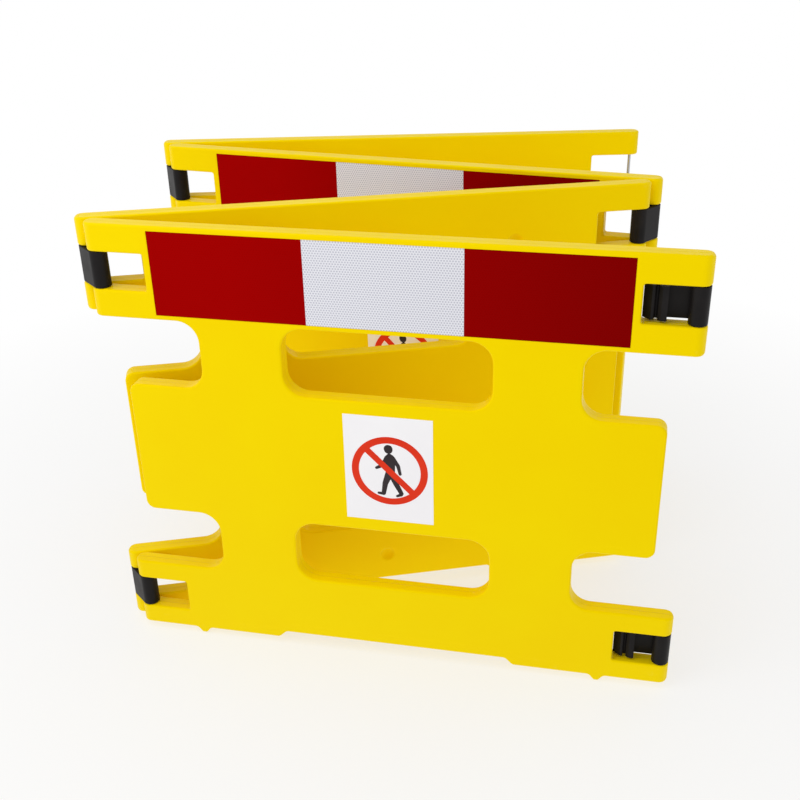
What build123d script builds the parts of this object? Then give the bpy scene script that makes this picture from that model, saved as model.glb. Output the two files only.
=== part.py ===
from build123d import *
import math
import os

# A folding road barrier: four hollow moulded panels in a zig-zag, joined by pairs of two-pin hinge links.
# Millimetres, Z up, floor at Z = 0. At rest the first panel runs along X with its striped face to -Y.

# Panel moulding
panel_length = 790.0
panel_thickness = 25.0
wall = 2.5
ground_clearance = 10.7
arm_height = 112.5
lower_gap_height = 96.0
body_height = 200.0
upper_gap_height = 97.0
beam_height = 128.0
body_inset = 34.5
body_corner_radius = 13.0
gap_depth = 143.0
gap_corner_radius = 29.0
slot_length = 278.0
slot_corner_radius = 30.0
arch_length = 340.0
arch_rise = 11.0
arch_slope = 45.0
arch_corner_radius = 9.0
end_corner_radius = 7.0
end_overhang = 1.0
edge_radius = 3.0

# Shallow round dimples pressed into the plain face
dimple_mouth_radius = 11.0
dimple_depth = 6.0
dimple_lip_radius = 3.0
beam_dimple_offset = 196.0
beam_dimple_drop = 9.0

# Hinge notches and their steel pins
notch_depth = 79.0
notch_height = 51.0
notch_corner_radius = 3.5
pin_diameter = 5.0
pin_hold = 22.0
pin_end_gap = 0.5
pin_seat_clearance = 0.02
end_block_length = 25.0

# Hinge links
link_pin_spacing = 29.5
barrel_diameter = 24.0
link_end_gap = 0.6
link_edge_radius = 1.0
link_bore_clearance = 0.08

# End clips: a barrel on the panel's pin, a web and a snap jaw for the pin of another barrier
clip_reach = 50.0
clip_arm_height = 44.0
clip_web_thickness = 4.5
clip_swing_gap = 0.5
jaw_inner_lip = 13.2
jaw_outer_lip = 16.0
jaw_front = 6.5
jaw_outer_lip_front = 4.0
jaw_outer_lip_slant = 9.0
jaw_clearance = 0.1
jaw_throat = 4.4
jaw_throat_length = 3.2
jaw_mouth = 12.0

# Feet
foot_offset = 296.0
nib_base_width = 21.0
nib_tip_width = 7.0
nib_drop = 9.0
nib_root_radius = 8.0
nib_tip_radius = 3.3
foot_diameter = 6.4
foot_edge_radius = 0.4
foot_stem_diameter = 3.5
foot_stem_length = 6.0
foot_clearance = 0.02

# Reflective stripe and sign label
stripe_block_length = 204.0
stripe_height = 114.0
film_thickness = 0.5
recess_depth = 0.8
recess_margin = 0.3
sign_width = 122.0
sign_height = 161.4
sign_bottom = 20.2
sign_shift = 0.9
label_thickness = 0.4

# Rest pose: how far each panel is turned from the first one, and which way each link points, in degrees
panel_turns = {1: 0.0, 2: 21.66, 3: -5.78, 4: 14.71}
link_directions = {"12": 140.0, "23": 56.0, "34": 131.0}

# Levels above the floor
lower_edge = ground_clearance
arm_top = lower_edge + arm_height
body_bottom = arm_top + lower_gap_height
body_top = body_bottom + body_height
beam_bottom = body_top + upper_gap_height
beam_top = beam_bottom + beam_height
arm_middle = (lower_edge + arm_top) / 2
beam_middle = (beam_bottom + beam_top) / 2
gap_spans = [(arm_top, body_bottom), (body_top, beam_bottom)]
notch_levels = {"top": beam_middle, "bottom": arm_middle}

# The pins stand at the centres of the half-round panel ends
panel_end = panel_length / 2
body_end = panel_end - body_inset
face_y = panel_thickness / 2
pin_x = panel_end - face_y
pin_radius = pin_diameter / 2
link_height = notch_height - 2 * link_end_gap
nib_tip = lower_edge - nib_drop
beam_dimple_level = beam_middle - beam_dimple_drop
dimple_places = [
    (-beam_dimple_offset, beam_dimple_level), (beam_dimple_offset, beam_dimple_level), (0, arm_middle)]

SIDES = {"left": -1, "right": 1}
ON_BASE = (Align.CENTER, Align.CENTER, Align.MIN)


def near(a, b):
    """True where two lengths are the same."""
    return abs(a - b) < 0.01


def panel_outline():
    """Front view of one panel: X along it, Y for the height."""
    outline = Pos(0, (lower_edge + beam_top) / 2) * Rectangle(
        panel_length + 2 * end_overhang, beam_top - lower_edge)
    for side in SIDES.values():
        outline -= Pos(side * panel_end, (arm_top + beam_bottom) / 2) * Rectangle(
            2 * body_inset, beam_bottom - arm_top)
        for low, high in gap_spans:
            outline -= Pos(side * panel_end, (low + high) / 2) * RectangleRounded(
                2 * gap_depth, high - low, gap_corner_radius)
        for level in notch_levels.values():
            outline -= Pos(side * panel_end, level) * RectangleRounded(
                2 * notch_depth, notch_height, notch_corner_radius)
    for low, high in gap_spans:
        outline -= Pos(0, (low + high) / 2) * RectangleRounded(slot_length, high - low, slot_corner_radius)

    arch_run = arch_rise / math.tan(math.radians(arch_slope))
    foot_of_slope = (arch_length + arch_run) / 2
    head_of_slope = (arch_length - arch_run) / 2
    arch_top = lower_edge + arch_rise
    outline -= Polygon(
        (-foot_of_slope, lower_edge), (-head_of_slope, arch_top),
        (head_of_slope, arch_top), (foot_of_slope, lower_edge), align=None)

    arch_corners = [v for v in outline.vertices() if v.Y < arch_top + 0.01 and abs(v.X) < foot_of_slope + 0.01]
    outline = fillet(arch_corners, arch_corner_radius)
    body_corners = [v for v in outline.vertices() if near(abs(v.X), body_end)]
    outline = fillet(body_corners, body_corner_radius)
    end_levels = (lower_edge, arm_top, beam_bottom, beam_top)
    end_corners = [v for v in outline.vertices() if v.X > panel_end and any(near(v.Y, z) for z in end_levels)]
    return fillet(end_corners, end_corner_radius)


def with_nibs(outline):
    """The panel's front view with a tapered nib under it for each foot."""
    for side in SIDES.values():
        left, right = side * foot_offset - nib_base_width / 2, side * foot_offset + nib_base_width / 2
        tip_inset = (nib_base_width - nib_tip_width) / 2
        outline += Polygon(
            (left, lower_edge + wall), (left, lower_edge), (left + tip_inset, nib_tip), (right - tip_inset, nib_tip),
            (right, lower_edge), (right, lower_edge + wall), align=None)
    roots = [v for v in outline.vertices()
             if near(v.Y, lower_edge) and near(abs(abs(v.X) - foot_offset), nib_base_width / 2)]
    outline = fillet(roots, nib_root_radius)
    tips = [v for v in outline.vertices() if near(v.Y, nib_tip)]
    return fillet(tips, nib_tip_radius)


def across_panel(profile, depth):
    """A front-view profile made solid across the panel, half its depth to each side of the middle."""
    return extrude(Plane.XZ.offset(-depth / 2) * profile, amount=depth)


def front_and_back_edges(solid):
    """Edges round the two faces and round the half-round ends, without the seams where the ends begin."""
    edges = []
    for edge in solid.edges():
        middle = edge.center()
        seam = abs(middle.X) > pin_x - 0.01 and edge.bounding_box().size.X < 0.01
        if not seam and (near(abs(middle.Y), face_y) or abs(middle.X) > pin_x + 0.01):
            edges.append(edge)
    return edges


def dimple_ball(place, growth):
    """The ball that presses a dimple into the plain face, made larger all round by growth."""
    x, z = place
    radius = (dimple_mouth_radius ** 2 + dimple_depth ** 2) / (2 * dimple_depth)
    return Pos(x, face_y + radius - dimple_depth, z) * Sphere(radius + growth)


def pin_bores():
    """Blind seats for the four pins, across the notches and into the lips above and below them."""
    bores = []
    for level in notch_levels.values():
        for side in SIDES.values():
            length = notch_height + 2 * (pin_hold + pin_end_gap)
            bores.append(Pos(side * pin_x, 0, level) * Cylinder(pin_radius + pin_seat_clearance, length))
    return bores


def panel_moulding():
    """The hollow panel: rounded outside, even walls, solid blocks round the pins."""
    outline = panel_outline()
    solid = across_panel(with_nibs(outline), panel_thickness)
    solid &= extrude(SlotOverall(panel_length, panel_thickness), amount=beam_top)
    solid = fillet(front_and_back_edges(solid), edge_radius)

    cavity = across_panel(offset(outline, -wall), panel_thickness - 2 * wall)
    cavity &= Box(2 * (panel_end - end_block_length), panel_thickness, 2 * beam_top)
    for place in dimple_places:
        solid -= dimple_ball(place, 0)
        cavity -= dimple_ball(place, wall)
    mouths = [e for e in solid.edges().filter_by(GeomType.CIRCLE) if near(e.radius, dimple_mouth_radius)]
    solid = fillet(mouths, dimple_lip_radius)
    solid -= cavity

    recess_length = 3 * stripe_block_length + 2 * recess_margin
    solid -= Pos(0, -face_y, beam_middle) * Box(
        recess_length, 2 * recess_depth, stripe_height + 2 * recess_margin)
    for bore in pin_bores():
        solid -= bore
    for side in SIDES.values():
        seat = Cylinder(foot_stem_diameter / 2 + foot_clearance, foot_stem_length + pin_end_gap, align=ON_BASE)
        solid -= Pos(side * foot_offset, 0, nib_tip) * seat
    return solid


def pins(side):
    """The upper and lower pin at one end of a panel."""
    pin = Cylinder(pin_radius, notch_height + 2 * pin_hold)
    return [Pos(SIDES[side] * pin_x, 0, level) * pin for level in notch_levels.values()]


def feet():
    """Two rubber feet, each a round pad with a stem pressed into its nib."""
    pad = Cylinder(foot_diameter / 2, nib_tip, align=ON_BASE)
    pad = fillet(pad.edges().group_by(Axis.Z)[0], foot_edge_radius)
    foot = pad + Pos(0, 0, nib_tip) * Cylinder(foot_stem_diameter / 2, foot_stem_length, align=ON_BASE)
    return [Pos(side * foot_offset, 0, 0) * foot for side in SIDES.values()]


def film(block):
    """One block of the stripe, on the floor of its recess; block counts from the middle."""
    y = -face_y + recess_depth - film_thickness / 2
    return Pos(block * stripe_block_length, y, beam_middle) * Box(
        stripe_block_length, film_thickness, stripe_height)


def sign_label():
    """Blank label on the body's striped face."""
    y = -face_y - label_thickness / 2
    z = body_bottom + sign_bottom + sign_height / 2
    return Pos(sign_shift, y, z) * Box(sign_width, label_thickness, sign_height)


def hinge_link():
    """Two barrels in one block, from the pin at the origin to the pin at +X."""
    profile = Pos(link_pin_spacing / 2, 0) * SlotCenterToCenter(link_pin_spacing, barrel_diameter)
    link = Pos(0, 0, -link_height / 2) * extrude(profile, amount=link_height)
    rims = link.edges().group_by(Axis.Z)
    link = fillet(rims[0] + rims[-1], link_edge_radius)
    for x in (0, link_pin_spacing):
        link -= Pos(x, 0, 0) * Cylinder(pin_radius + link_bore_clearance, link_height)
    return link


def end_clip():
    """Barrel at the origin, a lower web behind it, and a jaw open to -Y at -X, rounded to swing in its notch."""
    back = barrel_diameter / 2
    swing_radius = notch_depth - face_y - clip_swing_gap
    web_front = back - clip_web_thickness
    web = Polygon((-clip_reach, web_front), (0, web_front), (0, back), (-clip_reach, back), align=None)
    jaw = Polygon(
        (-clip_reach - jaw_outer_lip, back),
        (-clip_reach - jaw_outer_lip, jaw_outer_lip_slant - jaw_outer_lip_front),
        (-clip_reach - jaw_mouth / 2, -jaw_outer_lip_front),
        (-clip_reach, -jaw_outer_lip_front), (-clip_reach, -jaw_front),
        (-clip_reach + jaw_inner_lip, -jaw_front), (-clip_reach + jaw_inner_lip, back), align=None)
    seat = Pos(-clip_reach, 0) * Circle(pin_radius + jaw_clearance)
    mouth = Polygon(
        (-clip_reach + jaw_throat / 2, 0), (-clip_reach - jaw_throat / 2, 0),
        (-clip_reach - jaw_throat / 2, -jaw_throat_length), (-clip_reach - jaw_mouth / 2, -jaw_front),
        (-clip_reach + jaw_mouth / 2, -jaw_front), (-clip_reach + jaw_throat / 2, -jaw_throat_length),
        align=None)
    profile = web + (jaw & Circle(swing_radius)) - seat - mouth
    arm = Pos(0, 0, -clip_arm_height / 2) * extrude(profile, amount=clip_arm_height)
    barrel = Cylinder(back, link_height)
    barrel = fillet(barrel.edges().filter_by(GeomType.CIRCLE), link_edge_radius)
    return barrel + arm - Cylinder(pin_radius + link_bore_clearance, link_height)


def step_from(point, direction, length):
    """The point a given length away in plan, in a direction in degrees."""
    angle = math.radians(direction)
    return (point[0] + length * math.cos(angle), point[1] + length * math.sin(angle))


def pin_plan():
    """Plan position of each panel's pins; left and right are seen from its striped face."""
    span = 2 * pin_x
    plan = {1: {"left": (0.0, 0.0), "right": (span, 0.0)}}
    for number, joint in ((2, "12"), (3, "23"), (4, "34")):
        near_pin = step_from(plan[number - 1]["left"], link_directions[joint], link_pin_spacing)
        away = panel_turns[number] if number % 2 == 0 else panel_turns[number] + 180
        plan[number] = {"right": near_pin, "left": step_from(near_pin, away, span)}
    xs = [pin[0] for pair in plan.values() for pin in pair.values()]
    ys = [pin[1] for pair in plan.values() for pin in pair.values()]
    middle_x = (min(xs) + max(xs)) / 2
    middle_y = (min(ys) - label_thickness + max(ys)) / 2
    return {number: {side: (x - middle_x, y - middle_y) for side, (x, y) in pair.items()}
            for number, pair in plan.items()}


def panel_place(number, plan):
    """Where a panel's own frame sits: centred between its pins, striped face to the front or to the back."""
    left, right = plan[number]["left"], plan[number]["right"]
    turn = math.degrees(math.atan2(right[1] - left[1], right[0] - left[0]))
    return Pos((left[0] + right[0]) / 2, (left[1] + right[1]) / 2, 0) * Rot(0, 0, turn)


def build():
    """Every node of the barrier by name."""
    plan = pin_plan()
    panel_nodes = {
        "moulding": [panel_moulding()],
        "left_pins": pins("left"),
        "right_pins": pins("right"),
        "feet": feet(),
        "red_films": [film(-1), film(1)],
        "white_film": [film(0)],
        "sign_label": [sign_label()],
    }
    nodes = {}
    for number in panel_turns:
        place = panel_place(number, plan)
        for name, solids in panel_nodes.items():
            nodes[f"panel_{number}_{name}"] = [place * solid for solid in solids]
    link = hinge_link()
    clip = end_clip()
    for height, level in notch_levels.items():
        for joint, direction in link_directions.items():
            x, y = plan[int(joint[0])]["left"]
            nodes[f"link_{joint}_{height}"] = [Pos(x, y, level) * Rot(0, 0, direction) * link]
        x, y = plan[1]["right"]
        nodes[f"end_clip_{height}"] = [Pos(x, y, level) * clip]
    return nodes


os.makedirs("parts", exist_ok=True)
for node, solids in build().items():
    shape = solids[0] if len(solids) == 1 else Compound(children=solids)
    export_step(shape, f"parts/{node}.step")
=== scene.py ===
import math

import bmesh
import bpy
from mathutils import Matrix, Vector


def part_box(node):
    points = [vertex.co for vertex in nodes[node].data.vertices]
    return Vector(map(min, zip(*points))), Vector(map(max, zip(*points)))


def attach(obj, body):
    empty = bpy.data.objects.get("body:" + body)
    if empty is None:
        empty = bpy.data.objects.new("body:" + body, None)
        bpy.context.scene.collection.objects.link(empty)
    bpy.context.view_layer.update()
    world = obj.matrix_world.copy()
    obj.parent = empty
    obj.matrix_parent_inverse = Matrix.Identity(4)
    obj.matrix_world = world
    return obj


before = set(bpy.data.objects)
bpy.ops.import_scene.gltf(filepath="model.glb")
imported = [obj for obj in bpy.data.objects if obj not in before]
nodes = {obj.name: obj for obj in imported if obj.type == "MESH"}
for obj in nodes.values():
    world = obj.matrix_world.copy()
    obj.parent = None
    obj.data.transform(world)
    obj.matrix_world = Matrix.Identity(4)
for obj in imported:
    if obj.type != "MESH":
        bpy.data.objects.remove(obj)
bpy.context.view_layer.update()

# Looks of a folding road barrier: materials for its solids, the printed sign on each panel, the floor, light
# and camera. Metres, in the row frame. A panel's own frame has X along it, its striped face to -Y and the
# floor at Z = 0.

PANELS = (1, 2, 3, 4)

# Camera, at the photograph's viewpoint
CAMERA_PLACE = (0.3355, -1.5238, 1.0501)
CAMERA_HEADING = 11.297
CAMERA_PITCH = 26.892
CAMERA_ROLL = 0.570
IMAGE_SIZE = 800
FOCAL_LENGTH_PX = 1065.0
OPTICAL_CENTRE_PX = (429.4, 401.6)
SENSOR_MM = 36.0

# Light, with powers in watts
AMBIENT_STRENGTH = 0.66
KEY_LIGHT = {"place": (-1.3, -1.45, 1.4), "target": (-0.1, 0.0, 0.35), "size": 1.0, "power": 5.8}
TOP_LIGHT = {"place": (-0.5, -0.8, 2.0), "target": (-0.1, -0.1, 0.4), "size": 1.0, "power": 6.0}

# Floor: how far it reaches, the share of it that glows (as light, and as seen near the object), and the
# distances from the frame's origin between which what is seen fades into full white
FLOOR_REACH = 12.0
FLOOR_GLOW = 0.85
FLOOR_GLOW_SEEN = 0.6
FLOOR_FADE_START = 0.25
FLOOR_FADE_END = 1.4

# Colours, linear
YELLOW = (0.98, 0.735, 0.0)
YELLOW_WARM = (0.975, 0.71, 0.0)
YELLOW_SCUFFED = (0.94, 0.77, 0.12)
YELLOW_SEAM = (0.80, 0.52, 0.0)
RED_FILM = (0.37, 0.0, 0.0)
RED_FILM_CELL = (0.34, 0.0, 0.0)
WHITE_FILM = (0.88, 0.885, 0.93)
WHITE_FILM_CELL = (0.55, 0.55, 0.63)
VINYL = (0.97, 0.955, 0.97)
VINYL_SHADE = (0.945, 0.93, 0.95)
PRINT_RED = (0.74, 0.036, 0.011)
PRINT_RED_LIGHT = (0.80, 0.046, 0.016)
PRINT_BLACK = (0.036, 0.028, 0.030)
PRINT_BLACK_LIGHT = (0.050, 0.040, 0.042)
BLACK = (0.007, 0.006, 0.006)
BLACK_WORN = (0.013, 0.011, 0.011)
STEEL = (0.56, 0.56, 0.58)
STEEL_DULL = (0.38, 0.38, 0.40)
RUBBER = (0.010, 0.010, 0.010)
RUBBER_DUSTY = (0.030, 0.029, 0.027)
FLOOR = (0.92, 0.92, 0.92)
WHITE = (1.0, 1.0, 1.0)

# Sockets of Blender's Mix node, which share their names between kinds of data
MIX_VECTOR_A = 4
MIX_VECTOR_B = 5
MIX_VECTOR_RESULT = 1
MIX_COLOUR_A = 6
MIX_COLOUR_B = 7
MIX_COLOUR_RESULT = 2

# Limits between which most of a noise lies
NOISE_MIDDLE = (0.3, 0.7)

# Grained finishes: sizes in metres, and how their colour and roughness drift
BLACK_FINISH = {"roughness": 0.40, "specular": 0.12, "grain_size": 0.0012, "grain_depth": 0.00004}
STEEL_FINISH = {"roughness": 0.34, "specular": 0.5, "grain_size": 0.0006, "grain_depth": 0.00001,
                "metallic": 1.0, "stretch": 0.05}
RUBBER_FINISH = {"roughness": 0.75, "specular": 0.3, "grain_size": 0.0007, "grain_depth": 0.00006}
VINYL_FINISH = {"roughness": 0.38, "specular": 0.35, "grain_size": 0.004, "grain_depth": 0.00001}
PRINT_FINISH = {"roughness": 0.38, "specular": 0.06, "grain_size": 0.002, "grain_depth": 0.000005}
FINISH_DRIFT_PER_GRAIN = 0.04
FINISH_DRIFT_LIMITS = (0.35, 0.7)
FINISH_SMOOTHER = 0.05
FINISH_ROUGHER = 0.07

# Yellow plastic: noises in features per metre, their heights, and the parting line along the panel's middle
PLASTIC_ROUGHNESS = 0.42
PLASTIC_ROUGHNESS_RANGE = (0.38, 0.46)
PLASTIC_SPECULAR = 0.15
PLASTIC_DRIFT = 7.0
PLASTIC_DRIFT_LIMITS = (0.35, 0.65)
PLASTIC_GRAIN = 650.0
PLASTIC_GRAIN_DEPTH = 0.00003
PLASTIC_WAVE = 16.0
PLASTIC_WAVE_DEPTH = 0.0005
PARTING_LINE_WIDTH = 0.0020
PARTING_LINE_HEIGHT = 0.0004
PARTING_LINE_SHARE = 0.25

# Scuffs of the plastic, growing from one distance to another from the panel's middle, and towards the floor
SCUFF_SCRATCHES = 90.0
SCUFF_LIMITS = (0.58, 0.72)
SCUFF_START = 0.372
SCUFF_END = 0.395
SCUFF_LOW = 0.012
SCUFF_HIGH = 0.034
SCUFF_SHARE = 0.45
SCUFF_ROUGHNESS = 0.3

# Reflective films; places in a honeycomb cell run from 0 in its middle to 0.5 at its wall
HEXAGON_RISE = math.sqrt(3) / 2
FILM_CELL = 0.0036
FILM_CELL_FADE = (0.22, 0.44)
FILM_WALL = (0.40, 0.50)
FILM_WALL_HEIGHT = 0.00003
FILM_DRIFT = 30.0
FILM_DRIFT_DEPTH = 0.00001
FILM_ROUGHNESS = 0.30
FILM_ROUGHNESS_RANGE = (0.26, 0.36)
# Painted shade on the films: their colour is scaled down along the panel, from full at the first distance to
# the given share at the second, for light falling off towards the right end
FILM_PAINTED_SHADE_START = -0.20
FILM_PAINTED_SHADE_END = 0.34
RED_FILM_PAINTED_SHADE = 0.60
RED_FILM_SPECULAR = 0.01
WHITE_FILM_PAINTED_SHADE = 0.97
WHITE_FILM_SPECULAR = 0.3

# Sign print: how far the ring's middle lies below and to the right of the label's, and the print's sizes
RING_DROP = 0.0015
RING_SHIFT = 0.0013
RING_RADIUS = 0.0525
RING_WIDTH = 0.0099
BAR_WIDTH = 0.0092
BAR_ANGLE = -45.0
PRINT_THICKNESS = 0.00012
CUTTER_STRETCH = 3.0
CIRCLE_STEPS = 128
LIMB_STEPS = 40
FLAT_ANGLE = 0.001

# Walking figure: each limb runs from one round end to the next, as (x, z, radius) from the ring's middle
FIGURE = (
    ((-0.0012, 0.0345, 0.0060), (-0.0010, 0.0330, 0.0058)),
    ((0.0000, 0.0245, 0.0031), (0.0007, 0.0190, 0.0073)),
    ((0.0007, 0.0190, 0.0073), (0.0014, -0.0024, 0.0059)),
    ((-0.0033, 0.0203, 0.0035), (-0.0094, 0.0085, 0.0027)),
    ((-0.0094, 0.0085, 0.0027), (-0.0179, 0.0040, 0.0021)),
    ((0.0047, 0.0201, 0.0035), (0.0118, 0.0092, 0.0027)),
    ((0.0118, 0.0092, 0.0027), (0.0144, -0.0031, 0.0021)),
    ((-0.0005, -0.0035, 0.0054), (-0.0064, -0.0189, 0.0039)),
    ((-0.0064, -0.0189, 0.0039), (-0.0090, -0.0349, 0.0030)),
    ((-0.0090, -0.0359, 0.0024), (-0.0160, -0.0354, 0.0018)),
    ((0.0028, -0.0035, 0.0054), (0.0083, -0.0186, 0.0039)),
    ((0.0083, -0.0186, 0.0039), (0.0156, -0.0335, 0.0030)),
    ((0.0151, -0.0356, 0.0024), (0.0097, -0.0380, 0.0018)),
)


def pin_middle(node):
    """Middle of a pair of pins, which stand one above the other."""
    low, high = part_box(node)
    return (low + high) / 2


def panel_frame(number):
    """Matrix from a panel's own frame to the row frame, from the places of its pins."""
    left = pin_middle(f"panel_{number}_left_pins")
    right = pin_middle(f"panel_{number}_right_pins")
    along = (right - left).normalized()
    up = Vector((0, 0, 1))
    matrix = Matrix((along, up.cross(along), up)).transposed().to_4x4()
    matrix.translation = ((left.x + right.x) / 2, (left.y + right.y) / 2, 0)
    return matrix


PANEL_FRAMES = {number: panel_frame(number) for number in PANELS}


def new_material(name, roughness, specular, metallic=0.0):
    """A material with its node tree and shader."""
    material = bpy.data.materials.new(name)
    material.use_nodes = True
    tree = material.node_tree
    shader = tree.nodes["Principled BSDF"]
    shader.inputs["Roughness"].default_value = roughness
    shader.inputs["Specular IOR Level"].default_value = specular
    shader.inputs["Metallic"].default_value = metallic
    return material, tree, shader


def add(tree, kind, inputs=None, **settings):
    """A node with its settings; each input is a value or another node's output."""
    node = tree.nodes.new(kind)
    for key, value in settings.items():
        setattr(node, key, value)
    for socket, value in (inputs or {}).items():
        if isinstance(value, bpy.types.NodeSocket):
            tree.links.new(value, node.inputs[socket])
        else:
            node.inputs[socket].default_value = value
    return node


def math_node(tree, operation, *values):
    """Output of a math node."""
    return add(tree, "ShaderNodeMath", dict(enumerate(values)), operation=operation).outputs[0]


def vector_node(tree, operation, inputs):
    """A vector math node."""
    return add(tree, "ShaderNodeVectorMath", inputs, operation=operation)


def split(tree, vector):
    """The X, Y and Z of a vector."""
    return add(tree, "ShaderNodeSeparateXYZ", {"Vector": vector}).outputs


def noise(tree, point, scale, detail=2.0, roughness=0.5):
    """Noise from 0 to 1 at so many features per metre."""
    return add(tree, "ShaderNodeTexNoise", {
        "Vector": point, "Scale": scale, "Detail": detail, "Roughness": roughness}).outputs["Fac"]


def ramp(tree, value, low, high, start=0.0, end=1.0):
    """A value taken from low..high to start..end and held there beyond them."""
    return add(tree, "ShaderNodeMapRange", {
        "Value": value, "From Min": low, "From Max": high, "To Min": start, "To Max": end}).outputs["Result"]


def blend(tree, factor, colour_a, colour_b):
    """One colour turning into another."""
    node = add(tree, "ShaderNodeMix", {"Factor": factor}, data_type="RGBA")
    for socket, colour in ((node.inputs[MIX_COLOUR_A], colour_a), (node.inputs[MIX_COLOUR_B], colour_b)):
        if isinstance(colour, bpy.types.NodeSocket):
            tree.links.new(colour, socket)
        else:
            socket.default_value = (*colour, 1.0)
    return node.outputs[MIX_COLOUR_RESULT]


def connect(tree, shader, colour, height, roughness):
    """Gives the shader its colour, a bump height in metres and a roughness."""
    tree.links.new(colour, shader.inputs["Base Color"])
    bump = add(tree, "ShaderNodeBump", {"Strength": 1.0, "Distance": 1.0, "Height": height})
    tree.links.new(bump.outputs["Normal"], shader.inputs["Normal"])
    tree.links.new(roughness, shader.inputs["Roughness"])


def own_point(tree):
    """The point in the row frame at rest; it moves with the piece."""
    return add(tree, "ShaderNodeTexCoord").outputs["Object"]


def panel_point(tree, number):
    """The point in a panel's own frame."""
    to_panel = PANEL_FRAMES[number].inverted()
    return add(tree, "ShaderNodeMapping", {
        "Vector": own_point(tree), "Location": to_panel.translation,
        "Rotation": to_panel.to_euler()}).outputs["Vector"]


def yellow_plastic(number):
    """Satin moulded polyethylene: slow drift of colour, fine grain, a parting line and light scuffs."""
    material, tree, shader = new_material(f"yellow_plastic_{number}", PLASTIC_ROUGHNESS, PLASTIC_SPECULAR)
    shader.inputs["Specular Tint"].default_value = (*YELLOW, 1.0)
    point = panel_point(tree, number)
    place = split(tree, point)

    drift = noise(tree, point, PLASTIC_DRIFT, detail=3.0)
    grain = noise(tree, point, PLASTIC_GRAIN, detail=3.0, roughness=0.6)
    wave = noise(tree, point, PLASTIC_WAVE, detail=1.0)
    scratch = noise(tree, point, SCUFF_SCRATCHES, detail=8.0, roughness=0.75)

    to_end = ramp(tree, math_node(tree, "ABSOLUTE", place["X"]), SCUFF_START, SCUFF_END)
    to_floor = ramp(tree, place["Z"], SCUFF_HIGH, SCUFF_LOW)
    exposed = math_node(tree, "MAXIMUM", to_end, to_floor)
    scuff = math_node(tree, "MULTIPLY", exposed, ramp(tree, scratch, *SCUFF_LIMITS, 0.0, SCUFF_SHARE))

    colour = blend(tree, ramp(tree, drift, *PLASTIC_DRIFT_LIMITS), YELLOW, YELLOW_WARM)
    colour = blend(tree, scuff, colour, YELLOW_SCUFFED)

    from_seam = math_node(tree, "ABSOLUTE", place["Y"])
    seam_share = ramp(tree, from_seam, PARTING_LINE_WIDTH / 2, 0.0, 0.0, PARTING_LINE_SHARE)
    colour = blend(tree, seam_share, colour, YELLOW_SEAM)
    seam = ramp(tree, from_seam, PARTING_LINE_WIDTH / 2, 0.0, 0.0, PARTING_LINE_HEIGHT)
    height = math_node(tree, "MULTIPLY_ADD", grain, PLASTIC_GRAIN_DEPTH, seam)
    height = math_node(tree, "MULTIPLY_ADD", wave, PLASTIC_WAVE_DEPTH, height)
    rough = ramp(tree, drift, *NOISE_MIDDLE, *PLASTIC_ROUGHNESS_RANGE)
    rough = math_node(tree, "MULTIPLY_ADD", scuff, SCUFF_ROUGHNESS, rough)
    connect(tree, shader, colour, height, rough)
    return material


def honeycomb(tree, number):
    """Distance from the middle of a honeycomb cell, 0 to 0.5, over a panel's face."""
    place = split(tree, panel_point(tree, number))
    flat = add(tree, "ShaderNodeCombineXYZ", {"X": place["X"], "Y": place["Z"]}).outputs[0]
    cells = vector_node(tree, "SCALE", {"Vector": flat, "Scale": 1.0 / FILM_CELL}).outputs[0]
    half = (0.5, HEXAGON_RISE, 0.0)
    minus_half = tuple(-x for x in half)
    one = vector_node(tree, "WRAP", {0: cells, 1: half, 2: minus_half}).outputs[0]
    shifted = vector_node(tree, "ADD", {0: cells, 1: half}).outputs[0]
    other = vector_node(tree, "WRAP", {0: shifted, 1: half, 2: minus_half}).outputs[0]
    one_length = vector_node(tree, "LENGTH", {0: one}).outputs["Value"]
    other_length = vector_node(tree, "LENGTH", {0: other}).outputs["Value"]
    nearer = math_node(tree, "LESS_THAN", one_length, other_length)
    offset = add(tree, "ShaderNodeMix", {"Factor": nearer}, data_type="VECTOR")
    tree.links.new(other, offset.inputs[MIX_VECTOR_A])
    tree.links.new(one, offset.inputs[MIX_VECTOR_B])
    span = split(tree, vector_node(tree, "ABSOLUTE", {0: offset.outputs[MIX_VECTOR_RESULT]}).outputs[0])
    half_span = math_node(tree, "MULTIPLY", span["X"], 0.5)
    slanted = math_node(tree, "MULTIPLY_ADD", span["Y"], HEXAGON_RISE, half_span)
    return math_node(tree, "MAXIMUM", span["X"], slanted)


def reflective_film(name, number, edge_colour, cell_colour, painted_shade_share, specular):
    """Reflective sheeting: honeycomb cells under a smooth skin, darkened towards the panel's right end by
    painted shade.
    """
    material, tree, shader = new_material(f"{name}_{number}", FILM_ROUGHNESS, specular)
    point = panel_point(tree, number)
    along = split(tree, point)["X"]
    cell = honeycomb(tree, number)
    drift = noise(tree, point, FILM_DRIFT, detail=3.0)
    colour = blend(tree, ramp(tree, cell, *FILM_CELL_FADE), cell_colour, edge_colour)
    # painted shade: the colour darkens along the panel towards its right end
    shade = ramp(tree, along, FILM_PAINTED_SHADE_START, FILM_PAINTED_SHADE_END, 1.0, painted_shade_share)
    colour = vector_node(tree, "SCALE", {"Vector": colour, "Scale": shade}).outputs[0]
    wall = ramp(tree, cell, *FILM_WALL, 0.0, FILM_WALL_HEIGHT)
    height = math_node(tree, "MULTIPLY_ADD", drift, FILM_DRIFT_DEPTH, wall)
    connect(tree, shader, colour, height, ramp(tree, drift, *NOISE_MIDDLE, *FILM_ROUGHNESS_RANGE))
    return material


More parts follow.
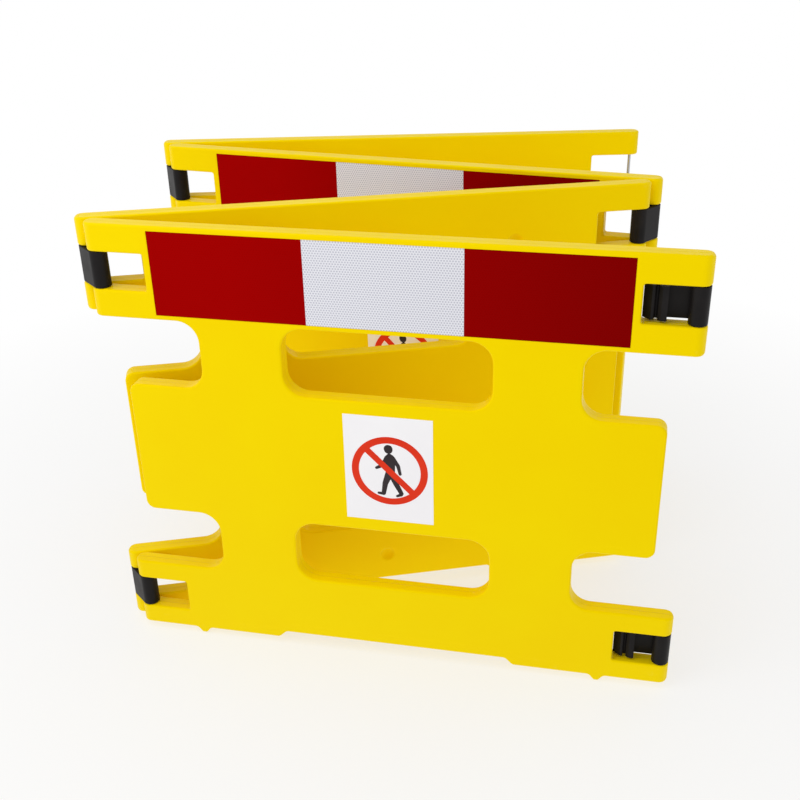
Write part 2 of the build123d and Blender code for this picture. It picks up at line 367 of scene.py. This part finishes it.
def grained_finish(name, colour, second_colour, roughness, specular, grain_size, grain_depth,
                   metallic=0.0, stretch=1.0):
    """A grained finish that drifts between two colours; stretch below 1 draws the grain out upwards."""
    material, tree, shader = new_material(name, roughness, specular, metallic)
    point = own_point(tree)
    drawn = add(tree, "ShaderNodeMapping", {"Vector": point, "Scale": (1.0, 1.0, stretch)}).outputs["Vector"]
    grain = noise(tree, drawn, 1.0 / grain_size, detail=4.0, roughness=0.6)
    drift = noise(tree, drawn, FINISH_DRIFT_PER_GRAIN / grain_size, detail=4.0, roughness=0.6)
    colour = blend(tree, ramp(tree, drift, *FINISH_DRIFT_LIMITS), colour, second_colour)
    height = math_node(tree, "MULTIPLY", grain, grain_depth)
    rough = ramp(tree, drift, *NOISE_MIDDLE, roughness - FINISH_SMOOTHER, roughness + FINISH_ROUGHER)
    connect(tree, shader, colour, height, rough)
    return material


def dress(node, material):
    """Gives a CAD node its material."""
    slots = nodes[node].data.materials
    slots.clear()
    slots.append(material)


black_plastic = grained_finish("black_plastic", BLACK, BLACK_WORN, **BLACK_FINISH)
steel = grained_finish("steel", STEEL, STEEL_DULL, **STEEL_FINISH)
rubber = grained_finish("rubber", RUBBER, RUBBER_DUSTY, **RUBBER_FINISH)
sign_vinyl = grained_finish("sign_vinyl", VINYL, VINYL_SHADE, **VINYL_FINISH)
print_red = grained_finish("print_red", PRINT_RED, PRINT_RED_LIGHT, **PRINT_FINISH)
print_black = grained_finish("print_black", PRINT_BLACK, PRINT_BLACK_LIGHT, **PRINT_FINISH)

for number in PANELS:
    dress(f"panel_{number}_moulding", yellow_plastic(number))
    dress(f"panel_{number}_red_films", reflective_film(
        "red_film", number, RED_FILM, RED_FILM_CELL, RED_FILM_PAINTED_SHADE, RED_FILM_SPECULAR))
    dress(f"panel_{number}_white_film", reflective_film(
        "white_film", number, WHITE_FILM, WHITE_FILM_CELL, WHITE_FILM_PAINTED_SHADE, WHITE_FILM_SPECULAR))
    dress(f"panel_{number}_sign_label", sign_vinyl)
    dress(f"panel_{number}_feet", rubber)
    for side in ("left", "right"):
        dress(f"panel_{number}_{side}_pins", steel)
for node in nodes:
    if node.startswith(("link_", "end_clip_")):
        dress(node, black_plastic)


def object_from(name, mesh):
    """A scene object from a bmesh, which is used up."""
    data = bpy.data.meshes.new(name)
    mesh.to_mesh(data)
    mesh.free()
    made = bpy.data.objects.new(name, data)
    bpy.context.scene.collection.objects.link(made)
    return made


def hull_object(name, points):
    """A convex prism over points (x, z), as thick as the print, from Y = 0 towards -Y."""
    mesh = bmesh.new()
    for x, z in points:
        mesh.verts.new((x, 0.0, z))
        mesh.verts.new((x, -PRINT_THICKNESS, z))
    bmesh.ops.convex_hull(mesh, input=mesh.verts)
    bmesh.ops.dissolve_limit(mesh, angle_limit=FLAT_ANGLE, verts=mesh.verts, edges=mesh.edges)
    bmesh.ops.recalc_face_normals(mesh, faces=mesh.faces)
    return object_from(name, mesh)


def circle_points(x, z, radius, steps):
    """Points round a circle."""
    turns = [2 * math.pi * step / steps for step in range(steps)]
    return [(x + radius * math.cos(a), z + radius * math.sin(a)) for a in turns]


def combine(base, others, operation):
    """Joins other objects to base, or cuts them from it, and removes them."""
    for other in others:
        modifier = base.modifiers.new(operation, "BOOLEAN")
        modifier.operation = operation
        modifier.solver = "EXACT"
        modifier.object = other
    evaluated = base.evaluated_get(bpy.context.evaluated_depsgraph_get())
    data = bpy.data.meshes.new_from_object(evaluated)
    base.modifiers.clear()
    base.data = data
    for other in others:
        bpy.data.objects.remove(other)
    return base


def through_print(cutter):
    """A shape of the print made deep enough to cut right through it."""
    cutter.scale.y = CUTTER_STRETCH
    cutter.location.y = PRINT_THICKNESS
    return cutter


def bar_object():
    """Slanted bar across the ring, its ends in the middle of the ring's band."""
    reach = RING_RADIUS - RING_WIDTH / 2
    half = BAR_WIDTH / 2
    turn = Matrix.Rotation(math.radians(BAR_ANGLE), 2)
    corners = [(-reach, -half), (reach, -half), (reach, half), (-reach, half)]
    return hull_object("bar", [turn @ Vector(corner) for corner in corners])


def ring_object(name):
    """Prohibition ring with its bar."""
    ring = hull_object(name, circle_points(0, 0, RING_RADIUS, CIRCLE_STEPS))
    hole = hull_object("hole", circle_points(0, 0, RING_RADIUS - RING_WIDTH, CIRCLE_STEPS))
    combine(ring, [through_print(hole)], "DIFFERENCE")
    return combine(ring, [bar_object()], "UNION")


def figure_object(name):
    """Walking figure, parted where the bar crosses it."""
    limbs = []
    for number, (start, end) in enumerate(FIGURE):
        points = circle_points(*start, LIMB_STEPS) + circle_points(*end, LIMB_STEPS)
        limbs.append(hull_object(f"{name}_{number}", points))
    figure = combine(limbs[0], limbs[1:], "UNION")
    figure = combine(figure, [through_print(bar_object())], "DIFFERENCE")
    figure.name = name
    return figure


def print_sign(number):
    """Lays the ring and the figure on a panel's label."""
    to_panel = PANEL_FRAMES[number].inverted()
    corners = [to_panel @ vertex.co for vertex in nodes[f"panel_{number}_sign_label"].data.vertices]
    face = min(corner.y for corner in corners)
    level = (min(corner.z for corner in corners) + max(corner.z for corner in corners)) / 2 - RING_DROP
    across = (min(corner.x for corner in corners) + max(corner.x for corner in corners)) / 2 + RING_SHIFT
    place = PANEL_FRAMES[number] @ Matrix.Translation((across, face, level))
    for piece, material, slot in (
            (ring_object(f"panel_{number}_sign_ring"), print_red, "red_film"),
            (figure_object(f"panel_{number}_sign_figure"), print_black, "black_plastic")):
        piece.data.transform(place)
        piece.data.materials.clear()
        piece.data.materials.append(material)
        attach(piece, f"panel_{number}")


for number in PANELS:
    print_sign(number)


def seen_directly(tree):
    """1 for rays from the camera and from reflections, 0 for rays that carry light."""
    path = add(tree, "ShaderNodeLightPath").outputs
    seen = math_node(tree, "MAXIMUM", path["Is Camera Ray"], path["Is Glossy Ray"])
    return math_node(tree, "MAXIMUM", seen, path["Is Transmission Ray"])


def lay_floor():
    """A wide white light table that keeps the object's soft shadow and runs into the white background."""
    mesh = bmesh.new()
    bmesh.ops.create_grid(mesh, x_segments=1, y_segments=1, size=FLOOR_REACH)
    floor = object_from("floor", mesh)
    material = bpy.data.materials.new("floor")
    material.use_nodes = True
    tree = material.node_tree
    tree.nodes.clear()
    seen = seen_directly(tree)
    matt = add(tree, "ShaderNodeBsdfDiffuse", {"Color": (*FLOOR, 1.0)})
    glow = add(tree, "ShaderNodeEmission", {"Color": (*WHITE, 1.0), "Strength": 1.0})
    distance = vector_node(tree, "LENGTH", {0: own_point(tree)}).outputs["Value"]
    lift = ramp(
        tree, distance, FLOOR_FADE_START, FLOOR_FADE_END, FLOOR_GLOW_SEEN - FLOOR_GLOW, 1.0 - FLOOR_GLOW)
    share = math_node(tree, "MULTIPLY_ADD", seen, lift, FLOOR_GLOW)
    surface = add(tree, "ShaderNodeMixShader", {0: share, 1: matt.outputs[0], 2: glow.outputs[0]})
    output = add(tree, "ShaderNodeOutputMaterial")
    tree.links.new(surface.outputs[0], output.inputs["Surface"])
    floor.data.materials.append(material)


def light_world():
    """Even white surroundings: full white where they are seen, softer as light."""
    world = bpy.data.worlds.new("studio")
    bpy.context.scene.world = world
    world.use_nodes = True
    tree = world.node_tree
    background = tree.nodes["Background"]
    background.inputs["Color"].default_value = (*WHITE, 1.0)
    strength = ramp(tree, seen_directly(tree), 0.0, 1.0, AMBIENT_STRENGTH, 1.0)
    tree.links.new(strength, background.inputs["Strength"])


def area_light(name, place, target, size, power):
    """A square soft box aimed at a point."""
    data = bpy.data.lights.new(name, "AREA")
    data.shape = "SQUARE"
    data.size = size
    data.energy = power
    lamp = bpy.data.objects.new(name, data)
    lamp.location = place
    lamp.rotation_mode = "QUATERNION"
    lamp.rotation_quaternion = (Vector(target) - Vector(place)).to_track_quat("-Z", "Y")
    bpy.context.scene.collection.objects.link(lamp)


def place_camera():
    """The photograph's camera."""
    heading, pitch, roll = (math.radians(x) for x in (CAMERA_HEADING, CAMERA_PITCH, CAMERA_ROLL))
    level = Vector((-math.sin(heading), math.cos(heading), 0))
    right = Vector((math.cos(heading), math.sin(heading), 0))
    up = level * math.sin(pitch) + Vector((0, 0, math.cos(pitch)))
    ahead = level * math.cos(pitch) - Vector((0, 0, math.sin(pitch)))
    rolled_right = right * math.cos(roll) - up * math.sin(roll)
    rolled_up = right * math.sin(roll) + up * math.cos(roll)
    data = bpy.data.cameras.new("camera")
    data.sensor_width = SENSOR_MM
    data.lens = FOCAL_LENGTH_PX * SENSOR_MM / IMAGE_SIZE
    data.shift_x = (IMAGE_SIZE / 2 - OPTICAL_CENTRE_PX[0]) / IMAGE_SIZE
    data.shift_y = (OPTICAL_CENTRE_PX[1] - IMAGE_SIZE / 2) / IMAGE_SIZE
    camera = bpy.data.objects.new("camera", data)
    matrix = Matrix((rolled_right, rolled_up, -ahead)).transposed().to_4x4()
    matrix.translation = CAMERA_PLACE
    camera.matrix_world = matrix
    bpy.context.scene.collection.objects.link(camera)
    bpy.context.scene.camera = camera


lay_floor()
light_world()
area_light("key", **KEY_LIGHT)
area_light("top", **TOP_LIGHT)
place_camera()
bpy.context.scene.view_settings.view_transform = "Standard"
